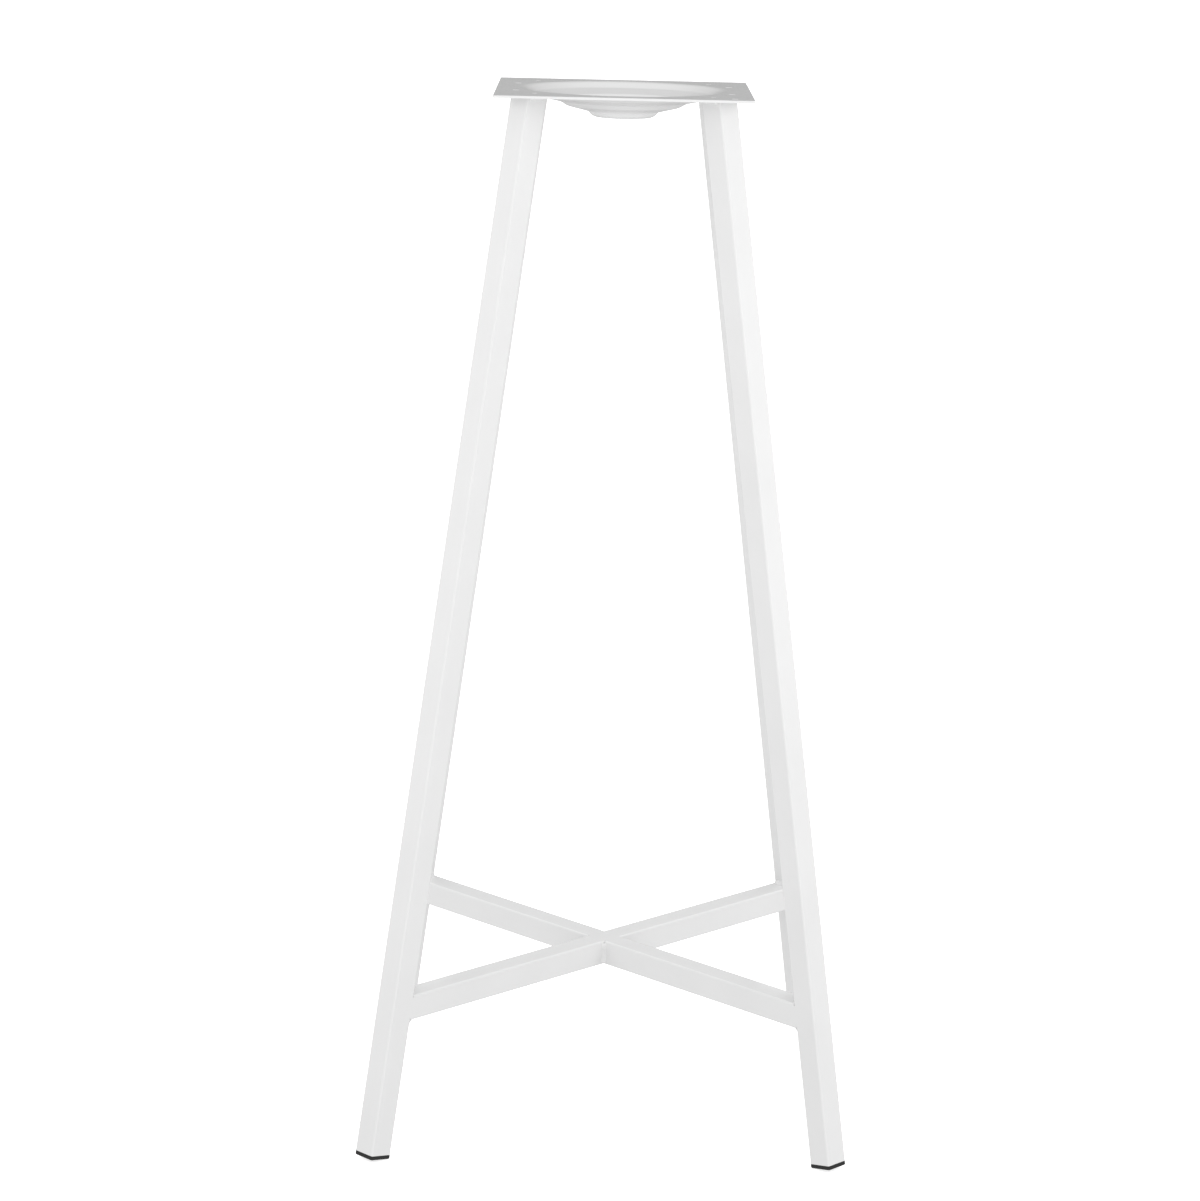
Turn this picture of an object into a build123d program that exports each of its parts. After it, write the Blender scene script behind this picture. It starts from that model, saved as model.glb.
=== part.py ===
from build123d import *
from math import atan2, cos, sin, sqrt, tan
import os

os.makedirs("parts", exist_ok=True)

# Bar table base: four leaning legs of square steel tube, welded under a pressed top plate and tied
# together near the floor by a crossed brace. The floor is z = 0, the front is -Y and +X is to the right.

# Overall layout, in millimetres
overall_height = 1035  # floor to the top plate's upper face
foot_spacing = 450  # between neighbouring leg axes where they meet the floor
leg_top_spacing = 183  # between neighbouring leg axes at the plate's underside
brace_height = 150  # floor to the brace's axis

# Square steel tube of the legs and the brace
tube_side = 25
tube_wall = 1.5
tube_corner_radius = 2
tube_bore_radius = 0.5

# Top plate, punched and pressed from flat sheet
plate_side = 250
plate_thickness = 2.5
plate_corner_radius = 2
screw_hole = 6.5
screw_edge_inset = 20  # hole centre to the plate's left or right edge
screw_pitch = 95  # between the two screw holes of one edge
vent_hole = 5  # opens each hollow leg, so that coating gas can leave it
vent_wall_gap = 0.7  # vent hole's edge to the inside of the tube wall
hanging_hole = 6  # one corner only, for the hook of the coating line
hanging_edge_inset = 19

# Stepped dish in the plate's middle, as widths and drops of its upper surface from the cup outwards
cup_floor_radius = 30
cup_wall_run = 2.8
cup_wall_drop = 5.1
lower_shelf_run = 22.1
lower_shelf_drop = 5.4
lower_wall_run = 8.1
lower_wall_drop = 4.7
upper_shelf_run = 24
upper_shelf_drop = 4.5
rim_wall_run = 13
rim_wall_drop = 5.4
rim_flat = 8  # flat ring of sheet kept round the dish
rim_bend = 18
upper_shelf_bend = 18
lower_wall_top_bend = 9
lower_wall_foot_bend = 9
cup_lip_bend = 3
cup_floor_bend = 7

# Black plastic end cap: a flange flush with the tube and a hollow plug with sealing ribs
cap_flange = 4
cap_edge_radius = 1.5
plug_length = 18
plug_wall = 1.6
rib_height = 0.8
rib_thickness = 1.2
rib_corner_chamfer = 0.4
rib_count = 3
plug_clearance = 0.15  # rib to tube bore, on each side

# Fillet welds
weld_leg = 4
under_weld_leg = 6  # heavier beads under the brace ends
weld_crown = 0.5

# Worked out from the sizes above
plate_underside = overall_height - plate_thickness
foot_radius = foot_spacing / sqrt(2)
leg_top_radius = leg_top_spacing / sqrt(2)
lean = atan2(foot_radius - leg_top_radius, plate_underside)
tube_bore = tube_side - 2 * tube_wall
brace_top = brace_height + tube_side / 2
brace_bottom = brace_height - tube_side / 2
flat_width = tube_side - 2 * tube_corner_radius
corners = {"front_left": 225, "front_right": 315, "rear_right": 45, "rear_left": 135}


def facing_out(heading, reach, height):
    """Upright plane that faces outwards along a heading: x sideways, y up, z outwards."""
    outwards = Vector(1, 0, 0).rotate(Axis.Z, heading)
    sideways = Vector(0, 1, 0).rotate(Axis.Z, heading)
    return Plane(origin=outwards * reach + Vector(0, 0, height), x_dir=sideways, z_dir=outwards)


def along_diagonal(heading):
    """Upright plane through the table's axis and one leg: x outwards, y up."""
    outwards = Vector(1, 0, 0).rotate(Axis.Z, heading)
    return Plane(origin=(0, 0, 0), x_dir=outwards, z_dir=outwards.cross(Vector(0, 0, 1)))


def square_to_leg(heading):
    """Plane of a foot's sole, square to the leg: x outwards, z up the leg.

    The sole is lifted so that its rounded inner edge just touches the floor.
    """
    outwards = Vector(1, 0, 0).rotate(Axis.Z, heading)
    up_leg = Vector(0, 0, cos(lean)) - outwards * sin(lean)
    out_of_leg = outwards * cos(lean) + Vector(0, 0, sin(lean))
    sole_height = cap_edge_radius * (1 - cos(lean)) + (tube_side / 2 - cap_edge_radius) * sin(lean)
    sole_centre = outwards * foot_radius + up_leg * (sole_height / cos(lean))
    return Plane(origin=sole_centre, x_dir=out_of_leg, z_dir=up_leg)


def inner_face(heading):
    """Plane of a leg's face towards the table's axis, facing into the leg."""
    sole = square_to_leg(heading)
    return Plane(origin=sole.origin - sole.x_dir * (tube_side / 2), x_dir=sole.z_dir, z_dir=sole.x_dir)


def inner_face_reach(height):
    """Distance from the table's axis to the legs' inner faces at a height."""
    return foot_radius - height * tan(lean) - tube_side / 2 / cos(lean)


def tube_section():
    """Section of the square tube, drawn in the current sketch."""
    RectangleRounded(tube_side, tube_side, tube_corner_radius)
    RectangleRounded(tube_bore, tube_bore, tube_bore_radius, mode=Mode.SUBTRACT)


def weld_bead(section, root, first_leg, second_leg, length):
    """Fillet weld of a given length: two legs from its root and a crowned face between their toes."""
    first_toe = root + first_leg
    second_toe = root + second_leg
    face_middle = (first_toe + second_toe) / 2
    crown = face_middle + (face_middle - root).normalized() * weld_crown
    with BuildPart() as bead:
        with BuildSketch(section):
            with BuildLine():
                Polyline(first_toe, root, second_toe)
                ThreePointArc(second_toe, crown, first_toe)
            make_face()
        extrude(amount=length)
    return bead.part


# Top plate: flat sheet with punched holes, and the dish turned as one pressed wall of even thickness
cup_lip_radius = cup_floor_radius + cup_wall_run
lower_wall_foot_radius = cup_lip_radius + lower_shelf_run
lower_wall_top_radius = lower_wall_foot_radius + lower_wall_run
rim_wall_foot_radius = lower_wall_top_radius + upper_shelf_run
rim_radius = rim_wall_foot_radius + rim_wall_run
dish_radius = rim_radius + rim_flat
lower_wall_top_depth = rim_wall_drop + upper_shelf_drop
lower_wall_foot_depth = lower_wall_top_depth + lower_wall_drop
cup_lip_depth = lower_wall_foot_depth + lower_shelf_drop
cup_depth = cup_lip_depth + cup_wall_drop
screw_x = plate_side / 2 - screw_edge_inset
vent_reach = leg_top_radius - (tube_bore / 2 - vent_wall_gap - vent_hole / 2)
vent_pitch = vent_reach * sqrt(2)
hanging_offset = plate_side / 2 - hanging_edge_inset

with BuildPart() as top_plate:
    with BuildSketch(Plane.XY.offset(plate_underside)):
        RectangleRounded(plate_side, plate_side, plate_corner_radius)
        Circle(dish_radius, mode=Mode.SUBTRACT)
        with GridLocations(2 * screw_x, screw_pitch, 2, 2):
            Circle(screw_hole / 2, mode=Mode.SUBTRACT)
        with GridLocations(vent_pitch, vent_pitch, 2, 2):
            Circle(vent_hole / 2, mode=Mode.SUBTRACT)
        with Locations((hanging_offset, -hanging_offset)):
            Circle(hanging_hole / 2, mode=Mode.SUBTRACT)
    extrude(amount=plate_thickness)
    with BuildSketch(Plane(origin=(0, 0, overall_height), x_dir=(1, 0, 0), z_dir=(0, -1, 0))):
        with BuildLine():
            FilletPolyline(
                (dish_radius, 0),
                (rim_radius, 0),
                (rim_wall_foot_radius, -rim_wall_drop),
                (lower_wall_top_radius, -lower_wall_top_depth),
                (lower_wall_foot_radius, -lower_wall_foot_depth),
                (cup_lip_radius, -cup_lip_depth),
                (cup_floor_radius, -cup_depth),
                (0, -cup_depth),
                radius=[
                    rim_bend,
                    upper_shelf_bend,
                    lower_wall_top_bend,
                    lower_wall_foot_bend,
                    cup_lip_bend,
                    cup_floor_bend,
                ],
            )
            offset(amount=plate_thickness, side=Side.LEFT)
        make_face()
    revolve(axis=Axis.Z)
top_plate.part.label = "top_plate"
export_step(top_plate.part, "parts/top_plate.step")

# Legs: tube cut square at the foot, and flat at the top where it meets the plate
for corner, heading in corners.items():
    sole = square_to_leg(heading)
    with BuildPart() as leg:
        with BuildSketch(sole.offset(cap_flange)):
            tube_section()
        extrude(amount=overall_height / cos(lean))
        split(bisect_by=Plane.XY.offset(plate_underside), keep=Keep.BOTTOM)
    leg.part.label = f"leg_{corner}"
    export_step(leg.part, f"parts/leg_{corner}.step")

# Brace: one bar runs through from front left to rear right, its ends mitred to the leaning legs
with BuildPart() as brace_through_bar:
    with BuildSketch(facing_out(corners["rear_right"], 0, brace_height)):
        tube_section()
    extrude(amount=foot_radius, both=True)
    split(bisect_by=inner_face(corners["rear_right"]), keep=Keep.BOTTOM)
    split(bisect_by=inner_face(corners["front_left"]), keep=Keep.BOTTOM)
brace_through_bar.part.label = "brace_through_bar"
export_step(brace_through_bar.part, "parts/brace_through_bar.step")

# Two shorter bars butt against its sides and reach the other two legs
for corner in ("front_right", "rear_left"):
    with BuildPart() as brace_stub:
        with BuildSketch(facing_out(corners[corner], tube_side / 2, brace_height)):
            tube_section()
        extrude(amount=foot_radius)
        split(bisect_by=inner_face(corners[corner]), keep=Keep.BOTTOM)
    brace_stub.part.label = f"brace_stub_{corner}"
    export_step(brace_stub.part, f"parts/brace_stub_{corner}.step")

# End caps: rounded flange under the tube's end, hollow plug with ribs inside the bore
rib_side = tube_bore - 2 * plug_clearance
plug_side = rib_side - 2 * rib_height
plug_bore = plug_side - 2 * plug_wall
rib_pitch = (plug_length - rib_thickness) / rib_count
for corner, heading in corners.items():
    sole = square_to_leg(heading)
    with BuildPart() as foot_cap:
        with BuildSketch(sole):
            RectangleRounded(tube_side, tube_side, tube_corner_radius)
        extrude(amount=cap_flange)
        fillet(foot_cap.faces().sort_by(Axis(sole.origin, sole.z_dir))[0].edges(), cap_edge_radius)
        with BuildSketch(sole.offset(cap_flange)):
            Rectangle(plug_side, plug_side)
        extrude(amount=plug_length)
        for rib in range(rib_count):
            with BuildSketch(sole.offset(cap_flange + rib_pitch * (rib + 1))) as rib_outline:
                Rectangle(rib_side, rib_side)
                chamfer(rib_outline.vertices(), rib_corner_chamfer)
            extrude(amount=rib_thickness)
        with BuildSketch(sole.offset(cap_flange)):
            Rectangle(plug_bore, plug_bore)
        extrude(amount=plug_length, mode=Mode.SUBTRACT)
    foot_cap.part.label = f"foot_cap_{corner}"
    export_step(foot_cap.part, f"parts/foot_cap_{corner}.step")

# Welds under the plate: one bead along each side face of a leg, clear of the tube's rounded corners
leg_top_bead = flat_width / cos(lean) - weld_leg * tan(lean)
leg_top_bead_start = leg_top_radius - flat_width / 2 / cos(lean) + weld_leg * tan(lean)
beads = []
for heading in corners.values():
    section = facing_out(heading, leg_top_bead_start, plate_underside)
    for side in (-1, 1):
        root = Vector(side * tube_side / 2, 0)
        beads.append(weld_bead(section, root, Vector(side * weld_leg, 0), Vector(0, -weld_leg), leg_top_bead))
with BuildPart() as welds_leg_tops:
    add(beads)
welds_leg_tops.part.label = "welds_leg_tops"
export_step(welds_leg_tops.part, "parts/welds_leg_tops.step")

# Welds at the brace's ends: a heavy bead under each arm and a lighter one on top, across the leg's face
inwards = Vector(-1, 0)
down_face = Vector(sin(lean), -cos(lean))
beads = []
for heading in corners.values():
    section = along_diagonal(heading).offset(-flat_width / 2)
    under = Vector(inner_face_reach(brace_bottom), brace_bottom)
    over = Vector(inner_face_reach(brace_top), brace_top)
    beads.append(weld_bead(section, under, inwards * under_weld_leg, down_face * under_weld_leg, flat_width))
    beads.append(weld_bead(section, over, inwards * weld_leg, down_face * -weld_leg, flat_width))
with BuildPart() as welds_brace_ends:
    add(beads)
welds_brace_ends.part.label = "welds_brace_ends"
export_step(welds_brace_ends.part, "parts/welds_brace_ends.step")

# Welds at the crossing: an upright bead in each of the four corners between the bars
beads = []
for heading in corners.values():
    outwards = Vector(1, 0, 0).rotate(Axis.Z, heading)
    section = Plane(origin=(0, 0, brace_bottom + tube_corner_radius), x_dir=outwards, z_dir=(0, 0, 1))
    root = Vector(tube_side / 2, tube_side / 2)
    beads.append(weld_bead(section, root, Vector(weld_leg, 0), Vector(0, weld_leg), flat_width))
with BuildPart() as welds_brace_crossing:
    add(beads)
welds_brace_crossing.part.label = "welds_brace_crossing"
export_step(welds_brace_crossing.part, "parts/welds_brace_crossing.step")
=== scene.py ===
import math
import random

import bmesh
import bpy
from mathutils import Matrix, Vector


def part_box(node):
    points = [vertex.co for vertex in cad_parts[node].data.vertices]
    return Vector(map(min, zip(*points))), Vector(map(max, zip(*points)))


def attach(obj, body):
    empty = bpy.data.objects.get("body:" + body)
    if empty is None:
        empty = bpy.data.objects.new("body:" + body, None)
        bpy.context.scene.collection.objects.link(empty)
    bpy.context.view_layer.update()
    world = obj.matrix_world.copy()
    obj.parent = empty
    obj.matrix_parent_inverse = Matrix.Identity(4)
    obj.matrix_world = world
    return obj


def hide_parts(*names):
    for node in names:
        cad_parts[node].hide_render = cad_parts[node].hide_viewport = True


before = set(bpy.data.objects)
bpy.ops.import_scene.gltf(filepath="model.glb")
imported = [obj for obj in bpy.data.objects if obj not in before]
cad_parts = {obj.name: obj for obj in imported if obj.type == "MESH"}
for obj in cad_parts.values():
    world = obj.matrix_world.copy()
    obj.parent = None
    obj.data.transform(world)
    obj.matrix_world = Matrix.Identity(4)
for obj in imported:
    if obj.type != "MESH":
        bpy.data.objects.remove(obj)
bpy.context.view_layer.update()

# Top plate
# One square of mild steel sheet, punched and pressed cold. A stepped round dish stiffens its middle, and
# holes near its border take the screws of a table top. It is powder coated, so its cut edges are soft.
mm = 0.001
plate_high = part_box("top_plate")[1]
plate_top = plate_high.z
plate_half = plate_high.x
plate_thickness = 2.5 * mm
plate_corner_radius = 2 * mm
plate_edge_round = 0.4 * mm
plate_edge_segments = 3
rim_band = 1.2 * mm  # clean ring of faces beside each cut edge
screw_hole_radius = 3.25 * mm
screw_x = plate_half - 20 * mm
screw_y = 47.5 * mm
vent_hole_radius = 2.5 * mm
vent_offset = 86 * mm
hanging_hole_radius = 3 * mm
hanging_offset = plate_half - 19 * mm
hole_sides = 32
cut_angle = math.radians(60)  # a cut edge turns by more than this, a pressed bend by less

# Radius, depth and bend of each corner of the dish's section, from its rim to its middle
dish_corners = (
    (108 * mm, 0, 0),
    (100 * mm, 0, 18 * mm),
    (87 * mm, 5.4 * mm, 18 * mm),
    (63 * mm, 9.9 * mm, 9 * mm),
    (54.9 * mm, 14.6 * mm, 9 * mm),
    (32.8 * mm, 20 * mm, 3 * mm),
    (30 * mm, 25.1 * mm, 7 * mm),
    (0, 25.1 * mm, 0),
)
bend_segments = 7
dish_turns = 160
merge_distance = 0.001 * mm


def linear_colour(code):
    """Linear colour of an sRGB hex value."""
    shares = [int(code[i : i + 2], 16) / 255 for i in (1, 3, 5)]
    return [s / 12.92 if s <= 0.04045 else ((s + 0.055) / 1.055) ** 2.4 for s in shares] + [1]


def add_node(tree, kind, inputs=(), **settings):
    """Adds a node with its settings, and gives each named input a value or a link."""
    node = tree.nodes.new(kind)
    for name, value in settings.items():
        setattr(node, name, value)
    for name, value in dict(inputs).items():
        if isinstance(value, bpy.types.NodeSocket):
            tree.links.new(value, node.inputs[name])
        else:
            node.inputs[name].default_value = value
    return node


def white_powder_coat():
    """Polyester powder, sprayed dry and baked: a half-gloss white skin with a faint orange peel.

    The eye sees soft broad highlights, slightly uneven whiteness, and ripples only close up.
    """
    dull_white = linear_colour("#DDDDDD")
    clean_white = linear_colour("#E3E3E3")
    smoothest = 0.16
    roughest = 0.26
    peel_width = 2.4 * mm
    peel_height = 0.014 * mm
    cloud_width = 70 * mm
    material = bpy.data.materials.new("white_polyester_powder_coat")
    material.use_nodes = True
    tree = material.node_tree
    shader = tree.nodes["Principled BSDF"]
    place = add_node(tree, "ShaderNodeTexCoord").outputs["Object"]
    clouds = {"Vector": place, "Scale": 1 / cloud_width, "Detail": 3}
    cloud = add_node(tree, "ShaderNodeTexNoise", clouds).outputs["Fac"]
    ripples = {"Vector": place, "Scale": 1 / peel_width, "Detail": 1}
    peel = add_node(tree, "ShaderNodeTexNoise", ripples).outputs["Fac"]
    whites = {"Factor": cloud, 6: dull_white, 7: clean_white}
    whiteness = add_node(tree, "ShaderNodeMix", whites, data_type="RGBA")
    gloss = add_node(tree, "ShaderNodeMapRange", {"Value": peel, "To Min": smoothest, "To Max": roughest})
    skin = add_node(tree, "ShaderNodeBump", {"Height": peel, "Distance": peel_height})
    tree.links.new(whiteness.outputs[2], shader.inputs["Base Color"])
    tree.links.new(gloss.outputs["Result"], shader.inputs["Roughness"])
    tree.links.new(skin.outputs["Normal"], shader.inputs["Normal"])
    return material


powder_coat = white_powder_coat()
crease_angle = math.radians(40)


def coated_piece(bm, name, node):
    """Turns a mesh into a coated piece that stands for a node and rides with the frame."""
    mesh = bpy.data.meshes.new(name)
    bm.to_mesh(mesh)
    bm.free()
    mesh.shade_smooth()
    mesh.set_sharp_from_angle(angle=crease_angle)
    mesh.materials.append(powder_coat)
    piece = bpy.data.objects.new(name, mesh)
    bpy.context.scene.collection.objects.link(piece)
    even = piece.modifiers.new("even_faces", "WEIGHTED_NORMAL")
    even.keep_sharp = True
    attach(piece, "root")
    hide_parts(node)


def largest_face(bm):
    """The face with the greatest area."""
    return max(bm.faces, key=lambda face: face.calc_area())


def open_with_band(bm, face, width):
    """Opens a face and leaves a band inside its outline; gives the band's outer and inner edges."""
    band = bmesh.ops.inset_region(
        bm,
        faces=[face],
        thickness=width,
        use_even_offset=True,
        use_boundary=True,
    )["faces"]
    outer_edges = [edge for strip in band for edge in strip.edges if edge.is_boundary]
    inner_edges = face.edges[:]
    bmesh.ops.delete(bm, geom=[face], context="FACES_ONLY")
    return outer_edges, inner_edges


def rounded_square(bm, half, height, radius, segments):
    """Adds a level square with rounded corners, as one face."""
    level = Matrix.Translation((0, 0, height))
    corners = bmesh.ops.create_grid(bm, x_segments=1, y_segments=1, size=half, matrix=level)["verts"]
    bmesh.ops.bevel(
        bm,
        geom=corners,
        offset=radius,
        offset_type="OFFSET",
        affect="VERTICES",
        segments=segments,
        profile=0.5,
        material=-1,
    )


# The dish is its section, rounded at each bend and spun about the plate's axis
plate = bmesh.new()
points = [Vector((radius, 0, plate_top - depth)) for radius, depth, bend in dish_corners]
section = [plate.verts.new(point) for point in points]
for outer, inner in zip(section, section[1:]):
    plate.edges.new((outer, inner))
for i in range(1, len(points) - 1):
    bend = dish_corners[i][2]
    turn = math.pi - (points[i - 1] - points[i]).angle(points[i + 1] - points[i])
    bmesh.ops.bevel(
        plate,
        geom=[section[i]],
        offset=bend * math.tan(turn / 2),
        offset_type="OFFSET",
        affect="VERTICES",
        segments=bend_segments,
        profile=0.5,
        material=-1,
    )
bmesh.ops.spin(
    plate,
    geom=plate.verts[:] + plate.edges[:],
    cent=(0, 0, 0),
    axis=(0, 0, 1),
    angle=2 * math.pi,
    steps=dish_turns,
    use_merge=True,
)
bmesh.ops.remove_doubles(plate, verts=plate.verts, dist=merge_distance)
fill_edges = [edge for edge in plate.edges if edge.is_boundary]

# The border is a rounded square, with a clean band along its edge and round each punched hole
rounded_square(plate, plate_half, plate_top, plate_corner_radius, bend_segments)
outer_edges, inner_edges = open_with_band(plate, largest_face(plate), rim_band)
fill_edges += inner_edges
quarters = [(side_x, side_y) for side_x in (-1, 1) for side_y in (-1, 1)]
holes = [(side_x * screw_x, side_y * screw_y, screw_hole_radius) for side_x, side_y in quarters]
holes += [(side_x * vent_offset, side_y * vent_offset, vent_hole_radius) for side_x, side_y in quarters]
holes.append((hanging_offset, -hanging_offset, hanging_hole_radius))
for x, y, radius in holes:
    circle = bmesh.ops.create_circle(
        plate,
        cap_ends=True,
        radius=radius + rim_band,
        segments=hole_sides,
        matrix=Matrix.Translation((x, y, plate_top)),
    )["verts"]
    outer_edges, inner_edges = open_with_band(plate, circle[0].link_faces[0], rim_band)
    fill_edges += outer_edges
bmesh.ops.triangle_fill(plate, edges=fill_edges, use_beauty=True, use_dissolve=False, normal=(0, 0, 1))
bmesh.ops.recalc_face_normals(plate, faces=plate.faces)
if largest_face(plate).normal.z < 0:
    bmesh.ops.reverse_faces(plate, faces=plate.faces)
bmesh.ops.solidify(plate, geom=plate.faces[:], thickness=plate_thickness)
bmesh.ops.bevel(
    plate,
    geom=[edge for edge in plate.edges if edge.calc_face_angle(0) > cut_angle],
    offset=plate_edge_round,
    offset_type="OFFSET",
    affect="EDGES",
    segments=plate_edge_segments,
    profile=0.5,
    material=-1,
)
coated_piece(plate, "coated_top_plate", "top_plate")

# Legs
# Four lengths of square steel tube with rounded corners. Each leans out from the plate with one flat face
# towards the middle; its foot is sawn square and its top is sawn to lie flat under the plate.
tube_side = 25 * mm
tube_wall = 1.5 * mm
tube_corner_radius = 2 * mm
tube_corner_segments = 6
saw_cut_round = 0.8 * mm  # leaves a fine groove under the plate and over the foot cap
saw_cut_segments = 2
foot_spacing = 450 * mm
leg_top_spacing = 183 * mm
cap_flange = 4 * mm
cap_edge_radius = 1.5 * mm
plate_underside = plate_top - plate_thickness
foot_radius = foot_spacing / math.sqrt(2)
leg_top_radius = leg_top_spacing / math.sqrt(2)
lean = math.atan2(foot_radius - leg_top_radius, plate_underside)
headings = {"front_left": 225, "front_right": 315, "rear_right": 45, "rear_left": 135}
upwards = Vector((0, 0, 1))


def outwards_of(corner):
    """Level direction from the middle to a leg."""
    heading = math.radians(headings[corner])
    return Vector((math.cos(heading), math.sin(heading), 0))


def square_tube(start, along, face, start_cut, end_cut):
    """Hollow square tube along a direction, one side turned to face, its ends sawn at two planes."""
    tube = bmesh.new()
    rounded_square(tube, tube_side / 2, 0, tube_corner_radius, tube_corner_segments)
    open_with_band(tube, largest_face(tube), tube_wall)
    start_end = tube.verts[:]
    walls = bmesh.ops.extrude_face_region(tube, geom=tube.faces[:], use_keep_orig=True)["geom"]
    far_end = [part for part in walls if isinstance(part, bmesh.types.BMVert)]
    bmesh.ops.translate(tube, verts=far_end, vec=upwards)
    bmesh.ops.recalc_face_normals(tube, faces=tube.faces)

    # The edges of the sawn ends on the outer skin, which is all that lies beyond the middle of the wall
    mid_wall = (tube_side - tube_wall) / 2
    sawn_edges = [
        edge
        for edge in tube.edges
        if edge.calc_face_angle(0) > cut_angle
        and all(max(abs(vert.co.x), abs(vert.co.y)) > mid_wall for vert in edge.verts)
    ]
    sideways = along.cross(face)
    place = Matrix((face, sideways, along)).transposed().to_4x4()
    place.translation = start
    bmesh.ops.transform(tube, matrix=place, verts=tube.verts)
    for verts, (point, normal) in ((start_end, start_cut), (far_end, end_cut)):
        for vert in verts:
            vert.co += along * ((point - vert.co).dot(normal) / along.dot(normal))
    bmesh.ops.bevel(
        tube,
        geom=sawn_edges,
        offset=saw_cut_round,
        offset_type="OFFSET",
        affect="EDGES",
        segments=saw_cut_segments,
        profile=0.5,
        material=-1,
    )
    return tube


# The foot cap stands on the rounded inner edge of its flange, which lifts the end of the leg off the floor
sole_half = tube_side / 2 - cap_edge_radius
sole_height = cap_edge_radius * (1 - math.cos(lean)) + sole_half * math.sin(lean)
for corner in headings:
    outwards = outwards_of(corner)
    up_leg = upwards * math.cos(lean) - outwards * math.sin(lean)
    out_of_leg = outwards * math.cos(lean) + upwards * math.sin(lean)
    foot = outwards * foot_radius + up_leg * (sole_height / math.cos(lean) + cap_flange)
    leg = square_tube(foot, up_leg, out_of_leg, (foot, up_leg), (upwards * plate_underside, upwards))
    coated_piece(leg, f"coated_leg_{corner}", f"leg_{corner}")

# Brace
# The same tube laid level near the floor. One bar runs through from the front left leg to the rear right
# one; two shorter bars butt against its sides. Their ends are mitred to the leaning legs.
brace_height = 150 * mm
stub_corners = ("front_right", "rear_left")


def leg_inner_face(corner):
    """Point of a leg's face towards the middle, at floor level, and the direction into that face."""
    outwards = outwards_of(corner)
    reach = foot_radius - tube_side / 2 / math.cos(lean)
    return outwards * reach, outwards * math.cos(lean) + upwards * math.sin(lean)


middle = upwards * brace_height
along = outwards_of("rear_right")
bar = square_tube(middle, along, upwards, leg_inner_face("front_left"), leg_inner_face("rear_right"))
coated_piece(bar, "coated_through_bar", "brace_through_bar")
for corner in stub_corners:
    along = outwards_of(corner)
    butt = middle + along * (tube_side / 2)
    bar = square_tube(butt, along, upwards, (butt, along), leg_inner_face(corner))
    coated_piece(bar, f"coated_stub_{corner}", f"brace_stub_{corner}")

# Welds
# Short fillet beads laid by hand in the corners between the pieces, then coated with the rest. Each bead is
# a row of overlapping ripples, as the pool froze behind the torch, and it thins out at both ends. Where two
# faces lie level with each other, the seam is filled and ground flush instead.
weld_leg = 4 * mm
under_weld_leg = 6 * mm
weld_crown = 0.5 * mm
crown_round_share = 0.55  # of the bead's leg
crown_segments = 4
ripple_pitch = 2 * mm
ripple_steps = 5
ripple_share = 0.07
lump_share = 0.05  # how uneven a hand-laid bead is, from ripple to ripple
end_share = 0.6  # size of a bead at its two ends
crescent = 0.7 * mm  # how far the middle of a ripple runs ahead of its edges
seam_back = 0.9 * mm  # flush seam over the sawn end
seam_ahead = 2.2 * mm  # flush seam over the rounded corner that the end butts against
grinding_step = 0.01 * mm  # how far a ground seam lies below the faces beside it
flat_width = tube_side - 2 * tube_corner_radius
brace_bottom = brace_height - tube_side / 2
brace_top = brace_height + tube_side / 2
hand_seed = 7
hand = random.Random(hand_seed)


def lay_bead(bm, root, along, first_leg, second_leg, length):
    """Adds one rippled fillet bead that starts at its root and runs along a corner."""
    face_middle = (first_leg + second_leg) / 2
    crown = face_middle + face_middle.normalized() * weld_crown + along * crescent
    outline = [bm.verts.new(root + offset) for offset in (Vector(), first_leg, crown, second_leg)]
    bm.faces.new(outline)
    bmesh.ops.bevel(
        bm,
        geom=[outline[2]],
        offset=first_leg.length * crown_round_share,
        offset_type="OFFSET",
        affect="VERTICES",
        segments=crown_segments,
        profile=0.5,
        material=-1,
    )
    bead_end = outline[0].link_faces[0]
    steps = round(length / ripple_pitch) * ripple_steps
    size = 1
    for step in range(steps + 1):
        if step % ripple_steps == 0:
            lump = 1 + hand.uniform(-lump_share, lump_share)
        phase = (step % ripple_steps) / ripple_steps
        ripples_to_end = min(step, steps - step) / ripple_steps
        thinning = min(1, end_share + (1 - end_share) * ripples_to_end)
        new_size = lump * (1 - ripple_share * phase) * thinning
        station = root + along * (length * step / steps)
        if step:
            old_end = bead_end
            grown = bmesh.ops.extrude_face_region(bm, geom=[old_end])["geom"]
            bead_end = next(part for part in grown if isinstance(part, bmesh.types.BMFace))
            bmesh.ops.translate(bm, verts=bead_end.verts, vec=along * (length / steps))
            if step > 1:
                bmesh.ops.delete(bm, geom=[old_end], context="FACES_ONLY")
        growth = Vector((1, 1, 1)) * (new_size / size)
        bmesh.ops.scale(bm, vec=growth, verts=bead_end.verts, space=Matrix.Translation(-station))
        size = new_size


def fill_seam(bm, edge, ahead, level, along, length):
    """Adds a flush seam round the point in a face where a sawn end meets a rounded corner."""
    low = edge - ahead * seam_back
    high = edge + ahead * seam_ahead
    size_ahead = seam_back + seam_ahead
    block = Matrix((ahead * size_ahead, level * seam_ahead, along * length)).transposed().to_4x4()
    block.translation = (low + high) / 2 - level * (seam_ahead / 2 + grinding_step)
    bmesh.ops.create_cube(bm, size=1, matrix=block)


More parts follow.
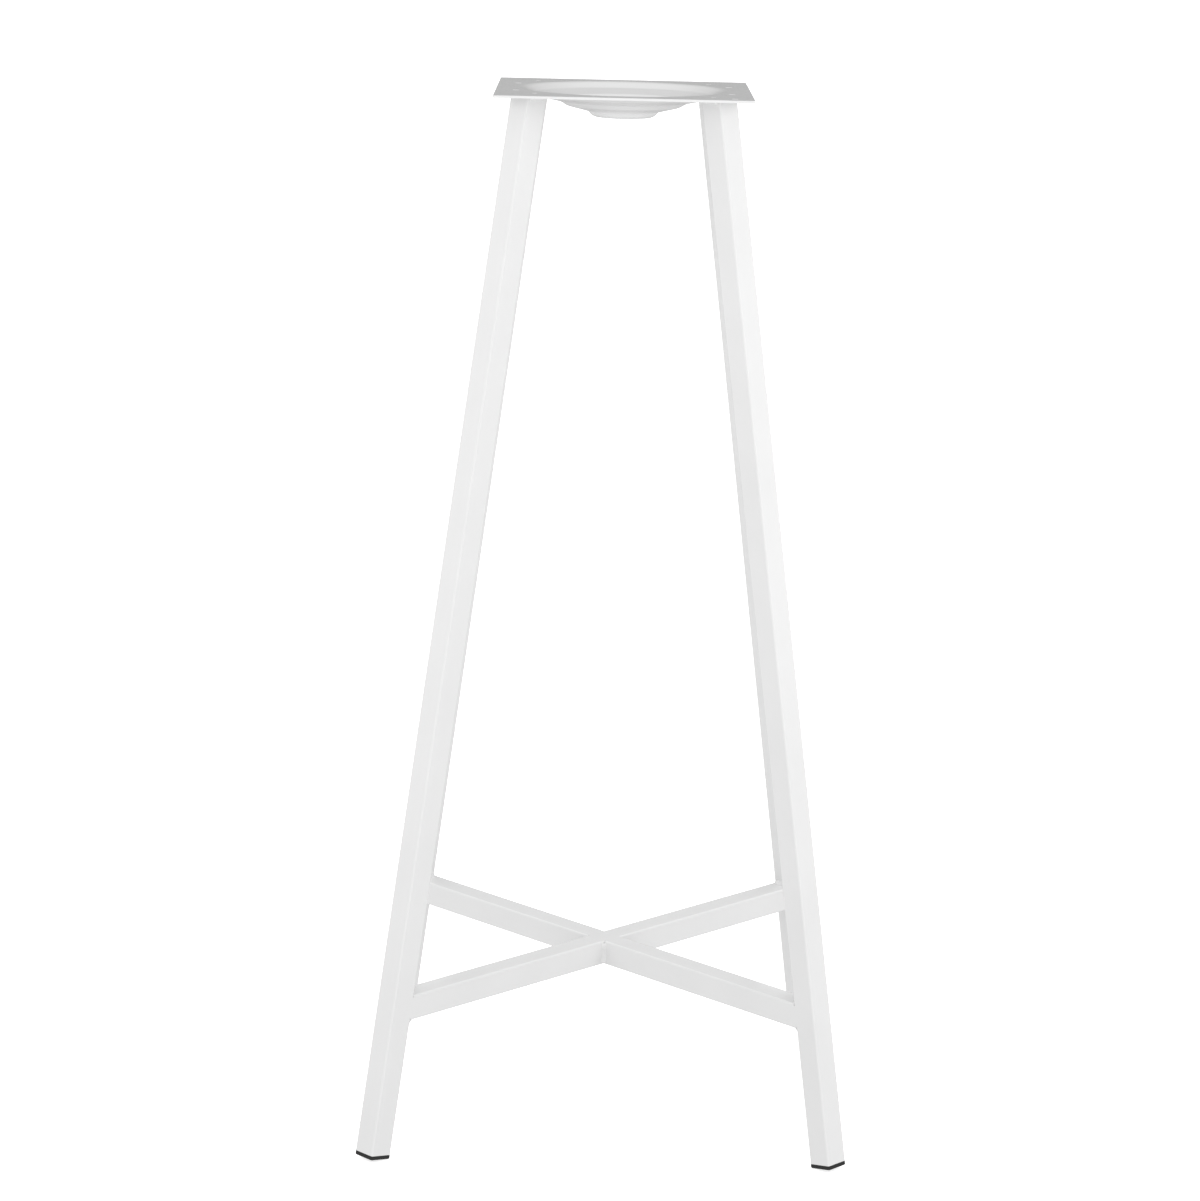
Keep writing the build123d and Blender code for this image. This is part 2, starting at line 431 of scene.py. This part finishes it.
# Leg tops: a bead along each side face of a leg, under the plate
leg_top_bead = flat_width / math.cos(lean) - weld_leg * math.tan(lean)
leg_top_start = leg_top_radius - flat_width / 2 / math.cos(lean) + weld_leg * math.tan(lean)
beads = bmesh.new()
for corner in headings:
    outwards = outwards_of(corner)
    sideways = upwards.cross(outwards)
    for side in (sideways, -sideways):
        root = outwards * leg_top_start + upwards * plate_underside + side * (tube_side / 2)
        lay_bead(beads, root, outwards, side * weld_leg, upwards * -weld_leg, leg_top_bead)
bmesh.ops.recalc_face_normals(beads, faces=beads.faces)
coated_piece(beads, "rippled_welds_leg_tops", "welds_leg_tops")

# Brace ends: a heavy bead under each arm and a lighter one on top, across the leg's inner face, and a flush
# seam at both sides
beads = bmesh.new()
for corner in headings:
    outwards = outwards_of(corner)
    sideways = upwards.cross(outwards)
    face_point, into_face = leg_inner_face(corner)
    down_face = outwards * math.sin(lean) - upwards * math.cos(lean)
    for height, reach, down in ((brace_bottom, under_weld_leg, 1), (brace_top, weld_leg, -1)):
        root = face_point - down_face * (height / math.cos(lean)) - sideways * (flat_width / 2)
        lay_bead(beads, root, sideways, outwards * -reach, down_face * (reach * down), flat_width)
    face_middle = face_point - down_face * (brace_height / math.cos(lean))
    for side in (sideways, -sideways):
        fill_seam(beads, face_middle + side * (tube_side / 2), into_face, side, down_face, flat_width)
bmesh.ops.recalc_face_normals(beads, faces=beads.faces)
coated_piece(beads, "rippled_welds_brace_ends", "welds_brace_ends")

# Crossing: an upright bead in each of the four corners between the bars, and flush seams over and under the
# two butt joints
beads = bmesh.new()
for corner in headings:
    outwards = outwards_of(corner)
    sideways = upwards.cross(outwards)
    root = (outwards + sideways) * (tube_side / 2) + upwards * (brace_bottom + tube_corner_radius)
    lay_bead(beads, root, upwards, outwards * weld_leg, sideways * weld_leg, flat_width)
for corner in stub_corners:
    outwards = outwards_of(corner)
    for level in (upwards, -upwards):
        butt_edge = middle + (outwards + level) * (tube_side / 2)
        fill_seam(beads, butt_edge, -outwards, level, upwards.cross(outwards), flat_width)
bmesh.ops.recalc_face_normals(beads, faces=beads.faces)
coated_piece(beads, "rippled_welds_crossing", "welds_brace_crossing")

# Foot caps
# Black plastic end caps, moulded in one piece: a flange as wide as the tube and a ribbed plug that is
# knocked into it. The flange is square to the leg, so each cap stands on its inner edge.


def black_moulded_plastic():
    """Polyethylene from a spark-eroded mould: near black, dull, with a fine even grain.

    The grain is drawn coarser than the real one, so that it shows at all.
    """
    deep_black = linear_colour("#0B0B0B")
    worn_black = linear_colour("#131313")
    smoothest = 0.45
    roughest = 0.6
    grain_width = 0.6 * mm
    grain_height = 0.02 * mm
    material = bpy.data.materials.new("black_moulded_polyethylene")
    material.use_nodes = True
    tree = material.node_tree
    shader = tree.nodes["Principled BSDF"]
    place = add_node(tree, "ShaderNodeTexCoord").outputs["Object"]
    pits = {"Vector": place, "Scale": 1 / grain_width, "Detail": 2}
    grain = add_node(tree, "ShaderNodeTexNoise", pits).outputs["Fac"]
    blacks = {"Factor": grain, 6: deep_black, 7: worn_black}
    tone = add_node(tree, "ShaderNodeMix", blacks, data_type="RGBA")
    dull = add_node(tree, "ShaderNodeMapRange", {"Value": grain, "To Min": smoothest, "To Max": roughest})
    skin = add_node(tree, "ShaderNodeBump", {"Height": grain, "Distance": grain_height})
    tree.links.new(tone.outputs[2], shader.inputs["Base Color"])
    tree.links.new(dull.outputs["Result"], shader.inputs["Roughness"])
    tree.links.new(skin.outputs["Normal"], shader.inputs["Normal"])
    return material


cap_plastic = black_moulded_plastic()
for corner in headings:
    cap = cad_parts[f"foot_cap_{corner}"]
    cap.data.materials.clear()
    cap.data.materials.append(cap_plastic)

# Studio
# A pale paper floor turns up far away into a backdrop on all sides. Soft light comes from all round, most
# from the floor in front. It is dim behind, where the level coated faces mirror it at a flat angle, so they
# look greyer than the upright ones.
floor_reach = 25
backdrop_height = 12
paper_colour = linear_colour("#E0E0E0")
paper_glow = 0.75
floor_mesh = bmesh.new()
bmesh.ops.create_grid(floor_mesh, x_segments=1, y_segments=1, size=floor_reach)
backdrop = bmesh.ops.extrude_edge_only(floor_mesh, edges=floor_mesh.edges[:])["geom"]
backdrop_top = [part for part in backdrop if isinstance(part, bmesh.types.BMVert)]
bmesh.ops.translate(floor_mesh, verts=backdrop_top, vec=upwards * backdrop_height)
floor_data = bpy.data.meshes.new("pale_floor")
floor_mesh.to_mesh(floor_data)
floor_mesh.free()
floor = bpy.data.objects.new("pale_floor", floor_data)
bpy.context.scene.collection.objects.link(floor)

# The paper only takes shadows: the light that it would throw back is part of the studio's own
floor.visible_diffuse = False
floor.visible_glossy = False
floor.visible_shadow = False
paper = bpy.data.materials.new("white_studio_paper")
paper.use_nodes = True
paper_shader = paper.node_tree.nodes["Principled BSDF"]
paper_shader.inputs["Base Color"].default_value = paper_colour
paper_shader.inputs["Roughness"].default_value = 1
paper_shader.inputs["Specular IOR Level"].default_value = 0
paper_shader.inputs["Emission Color"].default_value = (1, 1, 1, 1)
paper_shader.inputs["Emission Strength"].default_value = paper_glow
floor_data.materials.append(paper)

# The studio's light is set by direction: X to the right, Y to the back and Z up, each from -1 to 1
floor_in_front = 1.235
floor_behind = 0.203
light_above = 0.82
left_share = 0.94
right_share = 0.97
light_behind = 0.195
wall_edge = 0.45
wall_full = 0.85
overhead_light = 0.33
overhead_heights = (0.3, 0.9)  # where the patch of light starts and where it is full
overhead_widths = (0.65, 0.35)
light_straight_below = 0.58
below_heights = (-0.75, -0.95)

# How dim the wall behind is, by height: full where the plate mirrors it, less where the brace and dish do
wall_dimness = (
    (-0.15, 0),
    (0, 1),
    (0.18, 1),
    (0.28, 0.3),
    (0.34, 0.3),
    (0.42, 0.7),
    (0.5, 0.7),
    (0.7, 0),
)
studio = bpy.data.worlds.new("soft_studio")
bpy.context.scene.world = studio
studio.use_nodes = True
room = studio.node_tree
background = room.nodes["Background"]
towards = add_node(room, "ShaderNodeTexCoord").outputs["Generated"]
direction = add_node(room, "ShaderNodeSeparateXYZ", {"Vector": towards}).outputs

# From below comes the floor's light, brightest in front, and it changes evenly to the light above
floor_range = {"Value": direction["Y"], "From Min": -1, "To Min": floor_in_front, "To Max": floor_behind}
floor_light = add_node(room, "ShaderNodeMapRange", floor_range).outputs["Result"]
height_range = {"Value": direction["Z"], "From Min": -1, "To Min": floor_light, "To Max": light_above}
height_light = add_node(room, "ShaderNodeMapRange", height_range).outputs["Result"]
side_range = {"Value": direction["X"], "From Min": -1, "To Min": left_share, "To Max": right_share}
side_share = add_node(room, "ShaderNodeMapRange", side_range).outputs["Result"]
open_light = add_node(room, "ShaderNodeMath", {0: height_light, 1: side_share}, operation="MULTIPLY")

# The wall behind dims it
height_share = add_node(room, "ShaderNodeMapRange", {"Value": direction["Z"], "From Min": -1})
wall = add_node(room, "ShaderNodeValToRGB", {"Fac": height_share.outputs["Result"]})
wall.color_ramp.interpolation = "EASE"
wall.color_ramp.elements[-1].color = (0, 0, 0, 1)
for height, dimness in wall_dimness:
    stop = wall.color_ramp.elements.new((height + 1) / 2)
    stop.color = (dimness, dimness, dimness, 1)
wall_range = {"Value": direction["Y"], "From Min": wall_edge, "From Max": wall_full}
far_side = add_node(room, "ShaderNodeMapRange", wall_range, interpolation_type="SMOOTHSTEP")
dim_parts = {0: far_side.outputs["Result"], 1: wall.outputs["Color"]}
dim_share = add_node(room, "ShaderNodeMath", dim_parts, operation="MULTIPLY").outputs["Value"]
dimmed = {"Factor": dim_share, 2: open_light.outputs["Value"], 3: light_behind}
light = add_node(room, "ShaderNodeMix", dimmed).outputs[0]

# Two soft patches add to it, a long one overhead and one straight below
off_middle = add_node(room, "ShaderNodeMath", {0: direction["X"]}, operation="ABSOLUTE").outputs["Value"]
overhead_edges = ((direction["Z"], overhead_heights), (off_middle, overhead_widths))
below_edges = ((direction["Z"], below_heights),)
for patch, edges in ((overhead_light, overhead_edges), (light_straight_below, below_edges)):
    for value, (faint, full) in edges:
        edge_range = {"Value": value, "From Min": faint, "From Max": full}
        edge = add_node(room, "ShaderNodeMapRange", edge_range, interpolation_type="SMOOTHSTEP")
        share = {0: patch, 1: edge.outputs["Result"]}
        patch = add_node(room, "ShaderNodeMath", share, operation="MULTIPLY").outputs["Value"]
    light = add_node(room, "ShaderNodeMath", {0: light, 1: patch}, operation="ADD").outputs["Value"]
room.links.new(light, background.inputs["Strength"])
background.inputs["Color"].default_value = (1, 1, 1, 1)
bpy.context.scene.view_settings.view_transform = "Standard"

# Two large softboxes stand in front, one to each side, and two more stand lower behind. They are screened
# from mirror reflections, which would burn out the plate seen from behind.
front_target = Vector((0, 0, 1))
rear_target = Vector((0, 0, 0.5))
softboxes = (
    (Vector((-1.2, -0.72, 1.1)), front_target, 5.6),
    (Vector((1.2, -0.72, 1.1)), front_target, 7.2),
    (Vector((-1.3, 1.3, 0.85)), rear_target, 5.9),
    (Vector((1.3, 1.3, 0.85)), rear_target, 5.9),
)
softbox_side = 1.2
for place, target, power in softboxes:
    softbox = bpy.data.lights.new("softbox", "AREA")
    softbox.shape = "SQUARE"
    softbox.size = softbox_side
    softbox.energy = power
    lamp = bpy.data.objects.new("softbox", softbox)
    lamp.location = place
    lamp.rotation_euler = (target - place).to_track_quat("-Z", "Y").to_euler()
    lamp.visible_camera = False
    lamp.visible_glossy = False
    bpy.context.scene.collection.objects.link(lamp)

# Camera
# A long lens at about chest height, a little above the plate and turned slightly down, as in the photo.
# Its angles are in radians, and its focal length is given in pixels of the photo.
photo_height = 1201
focal_pixels = 3509
sensor = 36
camera_distance = 3.484
camera_height = 1.283
object_turn = 0.0053
pan = 0.0035
pitch = 0.216
roll = -0.0223
camera_data = bpy.data.cameras.new("camera")
camera_data.sensor_width = sensor
camera_data.lens = focal_pixels * sensor / photo_height
camera = bpy.data.objects.new("camera", camera_data)
bpy.context.scene.collection.objects.link(camera)
camera.matrix_world = (
    Matrix.Rotation(-object_turn, 4, "Z")
    @ Matrix.Translation((0, -camera_distance, camera_height))
    @ Matrix.Rotation(pan, 4, "Z")
    @ Matrix.Rotation(-pitch, 4, "X")
    @ Matrix.Rotation(roll, 4, "Y")
    @ Matrix.Rotation(math.pi / 2, 4, "X")
)
bpy.context.scene.camera = camera
